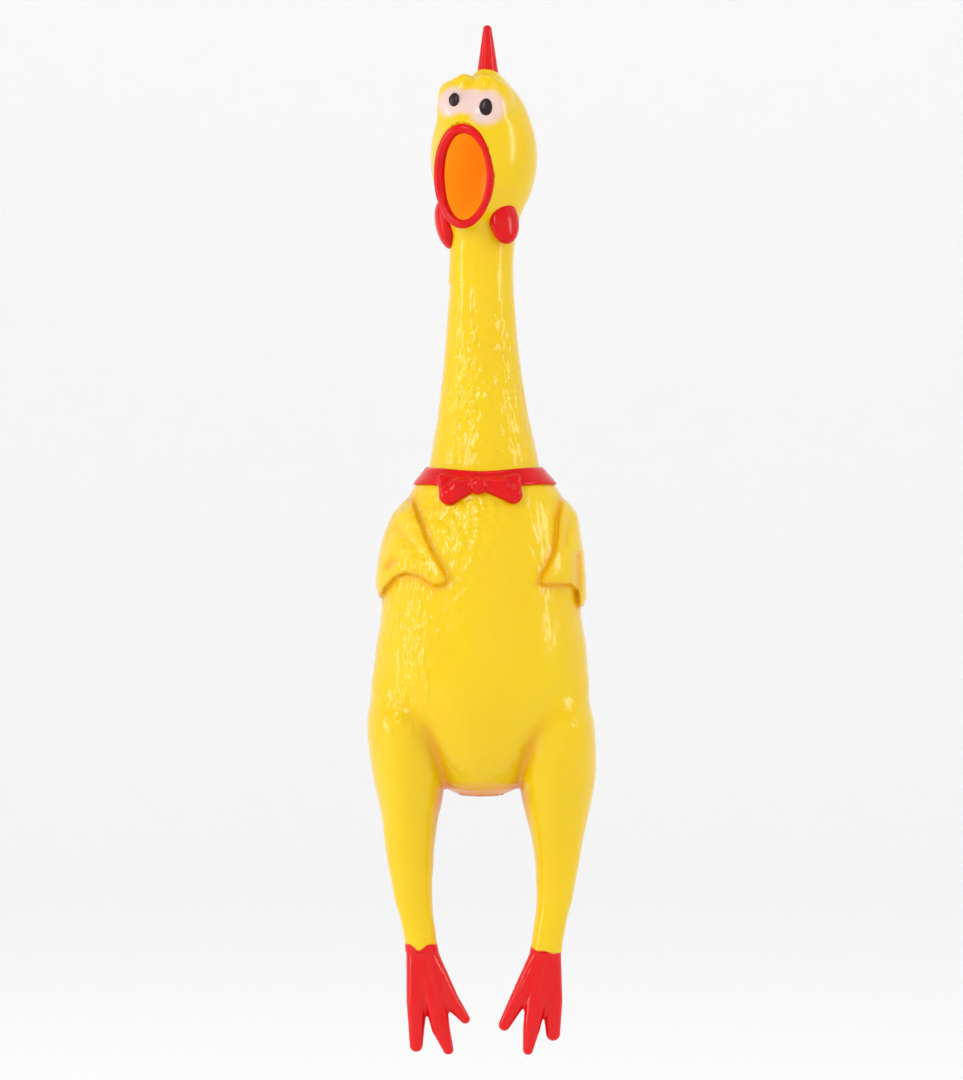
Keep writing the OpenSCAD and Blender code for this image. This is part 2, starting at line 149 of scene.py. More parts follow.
def limb(p, a, b, ra, rb, flat=1.0):
    """A round bar from a to b, ra and rb thick at its ends, and flattened in depth."""
    along = np.array(b, float) - np.array(a, float)
    d = [p[i] - a[i] for i in range(3)]
    h = np.clip(sum(d[i] * along[i] for i in range(3)) / (along @ along), 0, 1)
    d = [d[i] - along[i] * h for i in range(3)]
    return np.sqrt(d[0] ** 2 + (d[1] / flat) ** 2 + d[2] ** 2) - (ra + (rb - ra) * h)


def turned(about_z, about_y):
    """A turn about Y and then about Z, both in degrees."""
    return Matrix.Rotation(math.radians(about_z), 3, "Z") @ Matrix.Rotation(math.radians(about_y), 3, "Y")


def egg(p, middle, radii, turn=None):
    """An ellipsoid, turned by a matrix."""
    d = [p[i] - middle[i] for i in range(3)]
    if turn is not None:
        m = np.array(turn)
        d = [sum(m[j][i] * d[j] for j in range(3)) for i in range(3)]
    k0 = np.sqrt(sum((d[i] / radii[i]) ** 2 for i in range(3)))
    k1 = np.sqrt(sum((d[i] / radii[i] ** 2) ** 2 for i in range(3)))
    return k0 * (k0 - 1) / np.maximum(k1, 1e-4)


# ---- The chicken's forms ----

TORSO = Loft([
    [RUMP_Z - 0.6, 3.0, 3.0, 0, 2.6], [RUMP_Z - 0.2, 6.6, 6.6, 0, 2.4],
    [RUMP_Z + 0.9, 9.8, 9.8, 0, 2.2], [RUMP_Z + 3, 12.6, 13.2, 0, 2.0],
    [RUMP_Z + 6, 15.2, 16.4, 0, 1.7], [RUMP_Z + 11, 18.8, 20.2, 0, 1.0],
    [RUMP_Z + 20, 24.4, 24.4, 0, 0.2], [RUMP_Z + 26, 28.0, 26.2, 0, -0.4],
    [RUMP_Z + 32, 30.6, 27.0, 0, -0.8], [RUMP_Z + 42, 31.4, 27.0, 0, -1.2],
    [RUMP_Z + 48, 31.0, 26.7, 0, -1.2], [RUMP_Z + 53, 30.4, 26.2, -0.1, -1.2],
    [RUMP_Z + 63, 29.5, 25.2, -0.2, -1.0], [RUMP_Z + 73, 28.4, 24.0, 0, -0.7],
    [RUMP_Z + 78, 27.4, 23.1, 0.2, -0.5], [RUMP_Z + 83, 26.1, 22.0, 0.8, -0.2],
    [RUMP_Z + 88, 24.2, 20.6, 1.2, 0], [RUMP_Z + 93, 21.3, 18.9, 1.1, 0],
    [RUMP_Z + 96, 18.9, 17.4, 1.0, 0], [COLLAR_Z, 15.4, 14.8, 0.9, 0],
    [COLLAR_Z + 3, 11.0, 10.6, 0.8, 0],
])
NECK = Loft([
    [COLLAR_Z - 4, 17.0, 16.8, 0.9, 0], [COLLAR_Z, 16.6, 16.4, 0.9, 0],
    [COLLAR_Z + 6, 15.6, 15.4, 0.75, 0], [COLLAR_Z + 14, 13.95, 13.9, 0.55, 0],
    [COLLAR_Z + 22, 12.75, 12.8, 0.35, 0], [COLLAR_Z + 30, 11.7, 11.8, 0.2, 0],
    [COLLAR_Z + 38, 10.9, 11.1, 0.05, 0], [COLLAR_Z + 46, 10.3, 10.5, 0, 0],
    [COLLAR_Z + 54, 9.65, 9.9, 0.05, 0], [COLLAR_Z + 62, 9.15, 9.5, 0.1, 0],
    [COLLAR_Z + 68, 9.1, 9.6, 0.2, 0],
])
# The two legs of the toy aren't quite alike: each has its own rows, from the ankle to the hip
LEG_LEFT = Loft([
    [ANKLE_Z - 4, 4.5, 4.4, 19.6, -0.6], [ANKLE_Z + 1, 4.8, 4.8, 20.3, -0.4],
    [ANKLE_Z + 6, 4.9, 5.1, 21.2, 0], [ANKLE_Z + 11, 5.4, 5.6, 22.1, 0.2],
    [ANKLE_Z + 16, 5.9, 6.2, 22.5, 0.4], [ANKLE_Z + 21, 6.5, 6.9, 22.9, 0.4],
    [ANKLE_Z + 26, 7.2, 7.8, 23.0, 0.2], [ANKLE_Z + 31, 8.1, 9.0, 23.0, -0.2],
    [ANKLE_Z + 36, 9.3, 10.6, 22.9, -0.8], [ANKLE_Z + 41, 10.4, 12.2, 22.8, -1.6],
    [ANKLE_Z + 46, 11.3, 14.0, 22.8, -2.4], [ANKLE_Z + 51, 11.8, 15.4, 22.7, -3.2],
    [ANKLE_Z + 56, 11.9, 16.4, 22.6, -3.8], [ANKLE_Z + 61, 11.7, 17.0, 22.6, -4.0],
    [ANKLE_Z + 66, 11.2, 16.8, 22.6, -4.0], [ANKLE_Z + 71, 10.0, 14.2, 22.5, -3.0],
    [ANKLE_Z + 76, 8.2, 10.8, 22.5, -2.0], [ANKLE_Z + 81, 5.8, 7.4, 22.4, -1.6],
    [ANKLE_Z + 87, 3.6, 6.0, 22.9, -2.0],
])
LEG_RIGHT = Loft([
    [ANKLE_Z - 4, 4.5, 4.4, -18.2, -0.6], [ANKLE_Z + 1, 4.9, 4.8, -18.7, -0.4],
    [ANKLE_Z + 6, 5.1, 5.2, -19.7, 0], [ANKLE_Z + 11, 5.7, 5.8, -20.6, 0.2],
    [ANKLE_Z + 16, 6.1, 6.4, -21.1, 0.4], [ANKLE_Z + 21, 6.8, 7.1, -21.4, 0.4],
    [ANKLE_Z + 26, 7.3, 7.9, -21.7, 0.2], [ANKLE_Z + 31, 7.9, 8.8, -21.7, -0.2],
    [ANKLE_Z + 36, 8.5, 10.0, -21.6, -0.8], [ANKLE_Z + 41, 9.6, 11.8, -21.5, -1.6],
    [ANKLE_Z + 46, 10.5, 13.6, -21.7, -2.4], [ANKLE_Z + 51, 11.2, 15.2, -21.9, -3.2],
    [ANKLE_Z + 56, 11.6, 16.4, -22.2, -3.8], [ANKLE_Z + 61, 11.8, 17.0, -22.5, -4.0],
    [ANKLE_Z + 66, 11.5, 16.9, -22.9, -4.0], [ANKLE_Z + 71, 10.5, 14.6, -23.0, -3.0],
    [ANKLE_Z + 76, 8.7, 11.2, -23.2, -2.0], [ANKLE_Z + 81, 6.2, 7.8, -23.2, -1.6],
    [ANKLE_Z + 87, 3.8, 6.4, -23.5, -2.0],
])
# The head's own frame: turned about the neck and tilted sideways
HEAD_TURN, HEAD_TILT = math.radians(24), math.radians(4)
HEAD_TOP_OF_NECK = 113.0
HEAD = (Matrix.Translation((0, 0, HEAD_TOP_OF_NECK))
        @ Matrix.Rotation(HEAD_TILT, 4, "Y") @ Matrix.Rotation(-HEAD_TURN, 4, "Z"))
HEAD_BACK = np.array(HEAD.inverted())
SKULL = Loft([
    [-8, 9.0, 9.3, 0, 0], [0, 9.2, 9.6, 0, -0.2], [5, 9.6, 10.4, 0, -0.6], [10, 10.4, 12.0, 0, -1.3],
    [15, 12.0, 14.2, 0, -2.0], [20, 14.2, 16.4, 0, -2.6], [26, 15.5, 17.7, 0, -3.0],
    [32, 15.7, 17.6, 0, -3.4], [38, 14.7, 16.2, 0, -4.0], [43, 12.9, 14.2, 0, -4.4],
    [48, 10.1, 11.4, 0, -4.4], [52, 6.2, 7.8, 0, -4.0], [54.5, 3.0, 4.0, 0, -4.0],
])
# The beak's opening: the middle's height, half its width and half its height, then how its rim lies in depth
MOUTH_Z, MOUTH_W, MOUTH_H = 21.7, 8.4, 13.9
RIM_Y, RIM_LEAN, RIM_BULGE = -17.4, 2.2, 1.4
# The hollow behind the beak, as ovals from its mouth backwards
GULLET = Loft([
    [-3, 0.4, 0.7, 0, 0], [-2.5, 2.2, 4.0, 0, 0], [-1, 3.9, 7.1, 0, 0], [1.5, 5.2, 9.5, 0, 0],
    [5, 6.3, 11.3, 0, 0], [9, 7.0, 12.4, 0, 0], [14, 7.5, 13.1, 0, 0], [19, 7.8, 13.5, 0, 0],
    [40, 8.0, 13.8, 0, 0],
])
EYE_X, EYE_Z = 5.4, 43.6
# Meshes are worked through this many points at a time, so that far forms can be skipped
BATCH = 6000


def to_head(x, y, z):
    """A place on the chicken, in the head's own frame."""
    m = HEAD_BACK
    return [m[i][0] * x + m[i][1] * y + m[i][2] * z + m[i][3] for i in range(3)]


def from_head(points):
    """Rows of points in the head's own frame, as places on the chicken."""
    m = np.array(HEAD)
    return np.asarray(points, float) @ m[:3, :3].T + m[:3, 3]


def rim_point(t):
    """A point of the line along the middle of the beak's rim, t from 0 at its top; wider above than below."""
    w = MOUTH_W * (1 + 0.05 * np.cos(t))
    return np.stack([w * np.sin(t), RIM_Y - RIM_LEAN * np.cos(t) + RIM_BULGE * np.sin(t) ** 2,
                     MOUTH_Z + MOUTH_H * np.cos(t)], -1)


def head_distance(x, y, z):
    """The skull with its eye bulges, brows and beak, and the hollow of the gullet cut out of it."""
    h = to_head(x, y, z)
    d = SKULL.distance(*h)
    for side in (1, -1):
        bulge = egg(h, (side * 5.9, -12.8, EYE_Z - 0.6), (5.6, 5.6, 6.2))
        brow = limb(h, (side * 7.6 - 0.5, -11.2, 47.4), (side * 3.6, -13.0, 49.8), 3.7 - 0.5 * side, 3.3)
        d = join(join(d, bulge, 2.5), brow, 2.6)
    crown = limb(h, (0.2, -6.2, 51.3), (0, 3, 50.2), 4.4, 4.2)
    d = join(d, crown, 2.4)
    # The beak stands a little way out of the face, all round its rim
    snout = np.sqrt((h[0] / (MOUTH_W + 0.6)) ** 2 + ((h[2] - MOUTH_Z) / (MOUTH_H + 0.8)) ** 2)
    up = (h[2] - MOUTH_Z) / MOUTH_H
    front = RIM_Y - RIM_LEAN * up + RIM_BULGE * (1 - up**2)
    snout = np.maximum((snout - 1) * MOUTH_W, np.maximum(front - h[1], h[1] + 6))
    d = join(d, snout, 3.0)
    # and its edge is cut off along the rim
    opening = (np.sqrt((h[0] / MOUTH_W) ** 2 + up**2) - 1.12) * MOUTH_W
    d = carve(d, np.maximum(opening, h[1] - front), 0.8)
    return carve(d, GULLET.distance(h[0], h[2] - MOUTH_Z, -h[1]), 0.5)


# The folded wings' outlines on the chest, as x and z, shoulder first; they run off round the flanks
WING_RIGHT = [
    (-20.2, 39.4), (-18.2, 33.4), (-16.4, 28.6), (-14.6, 24.2), (-12.2, 20.4), (-10.2, 16.8),
    (-9.9, 14.9), (-11.4, 13.6), (-13.8, 13.4), (-16.2, 14.8), (-18.8, 16.3), (-22.0, 17.0),
    (-25.4, 15.8), (-28.4, 12.6), (-30.4, 9.0), (-42, 8.4), (-42, 32), (-30, 38), (-24.5, 40.6),
]
WING_LEFT = [
    (23.6, 39.2), (22.6, 34), (22.3, 28.6), (21.5, 24.2), (19.6, 20.2), (17.7, 16.6), (17.0, 14.6),
    (18.2, 13.6), (22, 13.7), (26.6, 13.4), (28.3, 11.6), (28.9, 6.6), (42, 6.0), (42, 34), (32, 39),
    (27, 40.8),
]
# Folds within them: from, to, and how wide
WING_FOLDS = [
    ((-28.0, 19.4), (-26.4, 21.0), 1.1),
    ((-25.0, 30.4), (-20.0, 25.4), 2.2),
    ((28.7, 22.6), (28.8, 12.8), 1.1),
    ((26.4, 33.4), (25.2, 26.0), 1.8),
]


def depth_within(x, z, outline):
    """How far inside a closed outline each point is, and below nought outside."""
    near, sign = np.full(np.shape(x), 1e9), np.ones(np.shape(x))
    for (ax, az), (bx, bz) in zip(outline, outline[1:] + outline[:1]):
        ex, ez, px, pz = bx - ax, bz - az, x - ax, z - az
        t = np.clip((px * ex + pz * ez) / (ex * ex + ez * ez), 0, 1)
        near = np.minimum(near, (px - ex * t) ** 2 + (pz - ez * t) ** 2)
        above, below, turn = z >= az, z < bz, ex * pz > ez * px
        sign = np.where((above & below & turn) | (~above & ~below & ~turn), -sign, sign)
    return -sign * np.sqrt(near)


def wing_relief(x, y, z, outline, side):
    """How far a wing stands out of the flank, and how far each point is from its edge, where orange shade is
    painted.
    """
    relief, fold = np.zeros(np.shape(x)), np.full(np.shape(x), 9.0)
    near = (side * x > 6) & (z > 2) & (z < 44) & (y < 12)
    if near.any():
        px, py, pz = (np.broadcast_to(v, near.shape)[near] for v in (x, y, z))
        within = depth_within(px, pz, outline)
        rise = np.clip(within / 1.7 + 0.25, 0, 1)
        height = 1.8 * rise * rise * (3 - 2 * rise) + 0.7 * np.clip(within / 5, 0, 1)
        height *= np.clip((41.5 - pz) / 6, 0, 1) * np.clip((pz - (3 if side > 0 else 6)) / 7, 0, 1)
        edge = np.abs(within - 0.1) + 0.55
        for a, b, wide in WING_FOLDS:
            if a[0] * side > 0:
                along = np.array(b) - a
                t = np.clip(((px - a[0]) * along[0] + (pz - a[1]) * along[1]) / (along @ along), 0, 1)
                away = np.hypot(px - a[0] - along[0] * t, pz - a[1] - along[1] * t)
                height -= 0.7 * np.exp(-(away / wide) ** 2)
                edge = np.minimum(edge, away + 1.5 - 0.9 * (wide < 1.2))
        # The wing's trailing edge runs down the flank in a shallow bow
        back = 11 * np.sqrt(np.clip(1 - ((pz - 22) / 19) ** 2, 0, 1)) - 1.5
        fade = np.clip((back - py) / 3.5 + 0.3, 0, 1)
        relief[near] = height * fade * fade * (3 - 2 * fade)
        rim = np.maximum(np.abs(py - back) + 0.8, np.clip(0.8 - within, 0, 9) * 4)
        fold[near] = np.where(py < back - 1.5, edge, rim)
    return relief, fold


# Each toe as its stations from the ankle to the tip: x, y, z and radius
TOES_RIGHT = [[(-18.6, -0.6, -96.5, 4.2), (-19.5, -2.4, -112, 3.2), (-19.7, -3.4, -125.3, 2.0)],
              [(-17.6, -0.8, -96.5, 3.8), (-13.9, -3.0, -112, 3.5), (-12.3, -3.8, -120, 2.8),
               (-10.0, -4.2, -126.4, 1.6)],
              [(-16.4, -0.4, -97.5, 3.0), (-9.6, -2.4, -111.6, 2.7), (-4.9, -3.0, -117.4, 1.5)]]
TOES_LEFT = [[(20.2, -0.4, -97.5, 3.9), (21.4, -2.2, -112, 3.1), (21.6, -3.0, -121.8, 2.2)],
             [(19.6, -0.8, -97.5, 3.9), (16.5, -3.2, -112, 3.3), (15.1, -4.0, -120, 2.6),
              (14.0, -4.4, -126.4, 1.6)],
             [(18.4, -0.6, -97.5, 3.3), (11.8, -2.6, -110.5, 2.8), (6.9, -3.0, -119.2, 1.8)]]


def foot_distance(p, toes):
    """Three webbed toes that spread from the ankle."""
    d = None
    for toe in toes:
        bar = None
        for a, b in zip(toe, toe[1:]):
            joint = limb(p, a[:3], b[:3], a[3], b[3], 0.86)
            bar = joint if bar is None else np.minimum(bar, joint)
        d = bar if d is None else join(d, bar, 1.1)
    return d


def skin_parts(x, y, z):
    """The skin's distance, and how far each of its creases is from meeting: 0 right in the crease."""
    lo, hi = z.min(), z.max()
    p = (x, y, z)
    d = np.full(np.shape(x), 60.0)
    fold = np.full(np.shape(x), 9.0)
    if lo < COLLAR_Z + 12:
        d = TORSO.distance(x, y, z)
    if hi > COLLAR_Z - 10 and lo < HEAD_TOP_OF_NECK + 16:
        d = join(d, NECK.distance(x, y, z), 2.5)
    if hi > HEAD_TOP_OF_NECK - 14:
        d = join(d, head_distance(x, y, z), 2.0)
    if hi > 0 and lo < 46:
        for outline, side in ((WING_RIGHT, -1), (WING_LEFT, 1)):
            relief, edge = wing_relief(x, y, z, outline, side)
            fold = np.minimum(fold, edge)
            d = d - relief
    if lo < 12:
        for leg in (LEG_LEFT, LEG_RIGHT):
            g = leg.distance(x, y, z)
            # How near the thigh's crease is, for the orange shade painted there
            crease = 0.62 * np.maximum(np.abs(g), np.abs(d)) + np.clip((z + 36) * 0.09, 0, 9)
            fold = np.minimum(fold, crease)
            d = join(d, g, 2.4 + 0.3 * np.clip(z + 34, 0, 20))
    if lo < ANKLE_Z + 8:
        for toes in (TOES_RIGHT, TOES_LEFT):
            d = join(d, foot_distance(p, toes), 1.5)
    return d, fold


def skin_distance(x, y, z):
    """The skin's distance alone."""
    return skin_parts(x, y, z)[0]


# A box that the whole skin fits in
SKIN_LOW, SKIN_HIGH = (-38, -31, -131), (38, 31, 172)


# ---- Meshes from distances ----

def net(distance, low, high, step):
    """Points and four-sided faces of the surface where distance is nought, on a grid of cubes."""
    axes = [np.arange(low[i], high[i] + step, step) for i in range(3)]
    f = np.empty([len(a) for a in axes], np.float32)
    for k in range(0, len(axes[2]), 16):
        gx, gy, gz = np.meshgrid(axes[0], axes[1], axes[2][k:k + 16], indexing="ij")
        f[:, :, k:k + 16] = distance(gx, gy, gz)
    inside = f < 0
    shape = np.array(f.shape)
    cells = shape - 1
    total = np.zeros((*cells, 3), np.float32)
    count = np.zeros(tuple(cells), np.int8)
    faces = []
    number = np.arange(int(np.prod(cells))).reshape(tuple(cells))
    for axis in range(3):
        here = [slice(None)] * 3
        there = [slice(None)] * 3
        here[axis], there[axis] = slice(0, -1), slice(1, None)
        a, b = f[tuple(here)], f[tuple(there)]
        ia = inside[tuple(here)]
        cut = np.argwhere(ia != inside[tuple(there)])
        va, vb = a[tuple(cut.T)], b[tuple(cut.T)]
        point = cut.astype(np.float32)
        point[:, axis] += va / (va - vb)
        u, v = [(1, 2), (2, 0), (0, 1)][axis]
        for du in (0, 1):
            for dv in (0, 1):
                cell = cut.copy()
                cell[:, u] -= du
                cell[:, v] -= dv
                ok = ((cell >= 0) & (cell < cells)).all(1)
                np.add.at(total, tuple(cell[ok].T), point[ok])
                np.add.at(count, tuple(cell[ok].T), 1)
        ok = (cut[:, u] > 0) & (cut[:, v] > 0) & (cut[:, u] < cells[u]) & (cut[:, v] < cells[v])
        c = cut[ok]
        ring = []
        for du, dv in ((1, 1), (0, 1), (0, 0), (1, 0)):
            q = c.copy()
            q[:, u] -= du
            q[:, v] -= dv
            ring.append(number[tuple(q.T)])
        quad = np.stack(ring, 1)
        flip = ~ia[tuple(c.T)]
        quad[flip] = quad[flip][:, ::-1]
        faces.append(quad)
    faces = np.concatenate(faces)
    used, faces = np.unique(faces, return_inverse=True)
    faces = faces.reshape(-1, 4)
    points = total.reshape(-1, 3)[used] / count.reshape(-1)[used][:, None]
    points = points.astype(float) * step + np.array([a[0] for a in axes])
    normals = None
    for _ in range(3):
        value, normals = slope(distance, points)
        points -= normals * np.clip(value, -step, step)[:, None]
    return points, faces, normals


def slope(distance, points, reach=0.12):
    """The distance at each point, and the way out of the solid there, taken in layers of height."""
    order = np.argsort(points[:, 2])
    value = np.empty(len(points))
    normal = np.empty((len(points), 3))
    for part in np.array_split(order, max(1, len(order) // BATCH)):
        p = points[part]
        value[part] = distance(*p.T)
        for i in range(3):
            shift = np.zeros(3)
            shift[i] = reach
            normal[part, i] = (distance(*(p + shift).T) - distance(*(p - shift).T)) / (2 * reach)
    size = np.maximum(np.linalg.norm(normal, axis=1), 0.2)
    return value / size, normal / np.maximum(np.linalg.norm(normal, axis=1), 1e-6)[:, None]


def piece(name, points, faces, normals, material, fields=None):
    """A smooth object from millimetres, with each field on its points, and rest: where each was made."""
    if not len(faces):
        raise RuntimeError(f"{name} came out empty")
    used, faces = np.unique(faces, return_inverse=True)
    faces = faces.reshape(-1, 4)
    points, normals = points[used], normals[used]
    mesh = bpy.data.meshes.new(name)
    mesh.from_pydata((points * MM).tolist(), [], faces.tolist())
    mesh.update()
    mesh.polygons.foreach_set("use_smooth", [True] * len(mesh.polygons))
    rest = mesh.attributes.new("rest", "FLOAT_VECTOR", "POINT")
    rest.data.foreach_set("vector", (points * MM).astype(np.float32).ravel())
    for key, values in (fields or {}).items():
        mesh.attributes.new(key, "FLOAT", "POINT").data.foreach_set("value", values[used].astype(np.float32))
    mesh.normals_split_custom_set_from_vertices(normals.tolist())
    obj = bpy.data.objects.new(name, mesh)
    bpy.context.collection.objects.link(obj)
    mesh.materials.append(material)
    return obj


# ---- Materials ----

def linear(text):
    """A colour written as sRGB hex, in linear light."""
    values = [int(text[i:i + 2], 16) / 255 for i in (1, 3, 5)]
    return tuple(v / 12.92 if v <= 0.04045 else ((v + 0.055) / 1.055) ** 2.4 for v in values) + (1.0,)


def add(tree, kind, settings=(), **links):
    """A node with its properties, constant inputs and links. A link has its input's name or _number."""
    node = tree.nodes.new(kind)
    for key, value in dict(settings).items():
        if isinstance(key, int) or key in node.inputs:
            node.inputs[key].default_value = value
        else:
            setattr(node, key, value)
    for key, source in links.items():
        name = int(key[1:]) if key[0] == "_" and key[1:].isdigit() else key.replace("_", " ")
        tree.links.new(source, node.inputs[name])
    return node


def field(tree, name, output="Fac"):
    """A value that piece() kept on the mesh's points, as a socket."""
    return add(tree, "ShaderNodeAttribute", {"attribute_name": name}).outputs[output]


def mixed(tree, a, b, factor):
    """Colour a where factor is nought, b where it is one: a hex colour, a linear colour or a socket."""
    node = add(tree, "ShaderNodeMix", {"data_type": "RGBA"})
    for number, value in ((6, a), (7, b)):
        if isinstance(value, str):
            node.inputs[number].default_value = linear(value)
        elif isinstance(value, tuple):
            node.inputs[number].default_value = value
        else:
            tree.links.new(value, node.inputs[number])
    tree.links.new(factor, node.inputs[0])
    return node.outputs[2]


def clouds(tree, where, size_mm, detail, rough=0.5):
    """Soft noise about size_mm across, as a value from nought to one."""
    node = add(tree, "ShaderNodeTexNoise", {
        "Scale": 1 / (size_mm * MM), "Detail": detail, "Roughness": rough}, Vector=where)
    return node.outputs["Fac"]


def stretch(tree, value, low, high):
    """The value, with low taken to nought and high to one."""
    return add(tree, "ShaderNodeMapRange", {"From Min": low, "From Max": high}, Value=value).outputs[0]


def rough_up(tree, shader, height, strength, depth_mm):
    """Raises the surface's light by a height."""
    bump = add(tree, "ShaderNodeBump", {"Strength": strength, "Distance": depth_mm * MM}, Height=height)
    tree.links.new(bump.outputs["Normal"], shader.inputs["Normal"])


def surface(name, settings):
    """A new material, its node tree and its shader."""
    material = bpy.data.materials.new(name)
    material.use_nodes = True
    tree = material.node_tree
    shader = tree.nodes["Principled BSDF"]
    for key, value in settings.items():
        shader.inputs[key].default_value = value
    return material, tree, shader


def finish_skin(finish):
    """Soft PVC, rotocast in a polished mould: a wet gloss over a plucked bird's pimples, and sprayed paint."""
    material, tree, shader = surface("soft_vinyl_yellow", {
        "IOR": 1.5, "Specular IOR Level": 0.34, "Roughness": 0.2, "Subsurface Weight": 0.1,
        "Subsurface Scale": 0.003, "Subsurface Radius": (1.0, 0.45, 0.1)})
    rest = field(tree, "rest", "Vector")
    # The pigment lies a little unevenly, in clouds about 25 mm across
    colour = mixed(tree, finish.yellow_light, finish.yellow_deep, clouds(tree, rest, 25, 2.0))
    # Painted shade: orange darkening in the folds of the wings and thighs and under the rump
    colour = mixed(tree, colour, finish.crease, field(tree, "painted_fold_shade"))
    colour = mixed(tree, colour, finish.eye_field, field(tree, "eye"))
    # Sprayed red has a feathered edge about 0.5 mm wide
    colour = mixed(tree, colour, finish.red, stretch(tree, field(tree, "red"), -0.25, 0.25))
    tree.links.new(colour, shader.inputs["Base Color"])
    # Pimples stand about 2.4 mm apart, longer up and down than across, over broad soft dents
    tall = add(tree, "ShaderNodeVectorMath", {
        "operation": "MULTIPLY", 1: (1.0, 1.0, 0.62)}, _0=rest).outputs[0]
    cells = add(tree, "ShaderNodeTexVoronoi", {
        "Scale": 1 / (2.4 * MM), "feature": "SMOOTH_F1", "Smoothness": 0.6, "Randomness": 1.0}, Vector=tall)
    heights = add(tree, "ShaderNodeMath", {"operation": "MULTIPLY_ADD", 1: -0.8},
                  _0=cells.outputs["Distance"], _2=clouds(tree, tall, 4.5, 3.0, 0.55)).outputs[0]
    raised = add(tree, "ShaderNodeMath", {"operation": "MULTIPLY"}, _0=heights, _1=field(tree, "pimple"))
    rough_up(tree, shader, raised.outputs[0], 0.8, 1.1)
    return material


def finish_paint(name, light, deep, settings, grain_mm=6.0, bump_mm=0.12):
    """Vinyl paint sprayed over a moulding: glossy, and a little uneven in its thickness."""
    material, tree, shader = surface(name, {
        "IOR": 1.5, "Specular IOR Level": 0.24, "Roughness": 0.22, "Subsurface Weight": 0.06,
        "Subsurface Scale": 0.002, **settings})
    rest = field(tree, "rest", "Vector")
    thickness = stretch(tree, clouds(tree, rest, grain_mm, 3.0), 0.35, 0.7)
    tree.links.new(mixed(tree, light, deep, thickness), shader.inputs["Base Color"])
    rough_up(tree, shader, clouds(tree, rest, 2.2, 2.0), 0.5, bump_mm)
    return material


def finish_gullet(finish):
    """The inside of the beak: orange sprayed on yellow vinyl, deeper to one side partly as painted shade, with
    a faint painted glow.
    """
    material, tree, shader = surface("orange_gullet_with_painted_shade_and_glow", {
        "IOR": 1.5, "Roughness": 0.42, "Subsurface Weight": 0.1, "Subsurface Scale": 0.002,
        "Emission Strength": 0.22})
    rest = field(tree, "rest", "Vector")
    # Deeper orange to one side: partly sprayed paint, partly painted shade
    depth = add(tree, "ShaderNodeMath", {"operation": "MULTIPLY_ADD", 1: 0.22},
                _0=clouds(tree, rest, 7, 2.0), _2=field(tree, "deep")).outputs[0]
    colour = mixed(tree, finish.gullet_light, finish.gullet_deep, stretch(tree, depth, 0.08, 1.12))
    tree.links.new(colour, shader.inputs["Base Color"])
    # Painted light: the hollow gives off its own colour as a faint glow, to brighten it
    tree.links.new(colour, shader.inputs["Emission Color"])
    return material


def finish_hard(name, colour, settings, grain_mm):
    """A small hard part of the sounder, with the fine grain that its mould or roll left."""
    material, tree, shader = surface(name, settings)
    where = add(tree, "ShaderNodeTexCoord").outputs["Object"]
    grain = clouds(tree, where, grain_mm, 2.0)
    darker = tuple(0.82 * c for c in linear(colour)[:3]) + (1.0,)
    tree.links.new(mixed(tree, colour, darker, grain), shader.inputs["Base Color"])
    rough_up(tree, shader, grain, 0.3, 0.05)
    return material


# ---- What a user would change ----

class ChickenSizes(bpy.types.PropertyGroup):
    """Spacings and thicknesses."""
    skin_step: FloatProperty(
        name="Skin mesh", description="Spacing of the skin's mesh", default=0.7 * MM,
        unit="LENGTH", precision=5)
    trim_step: FloatProperty(
        name="Trim mesh", description="Spacing of the comb's, rim's and bow's mesh", default=0.4 * MM,
        unit="LENGTH", precision=5)
    rim: FloatProperty(
        name="Beak rim", description="Radius of the rolled rim of the beak", default=1.4 * MM,
        unit="LENGTH", precision=5)
    band: FloatProperty(
        name="Collar band", description="How far the band stands out of the neck", default=0.9 * MM,
        unit="LENGTH", precision=5)


class ChickenFinish(bpy.types.PropertyGroup):
    """Colours, as sRGB hex."""
    yellow_light: StringProperty(name="Yellow", description="The vinyl's own yellow", default="#E4C400")
    yellow_deep: StringProperty(
        name="Deep yellow", description="The yellow where the pigment is thickest", default="#E2B800")
    # Painted shade: the orange that darkens the folds and the rump
    crease: StringProperty(name="Crease", description="Orange in the folds", default="#DC8000")
    eye_field: StringProperty(
        name="Eye field", description="White sprayed round both eyes", default="#DEC0B8")
    red: StringProperty(name="Red", description="Sprayed red of the feet and trim", default="#D60004")
    red_deep: StringProperty(
        name="Deep red", description="The red where it is thickest", default="#C80008")
    gullet_light: StringProperty(
        name="Gullet", description="Orange just inside the beak", default="#F5B020")
    # The deeper orange is partly sprayed paint, partly painted shade
    gullet_deep: StringProperty(
        name="Deep gullet", description="Orange on the gullet's deeper side", default="#EE7000")
    pupil: StringProperty(name="Pupil", description="The pupils' gloss black", default="#120406")


# ---- Operators ----

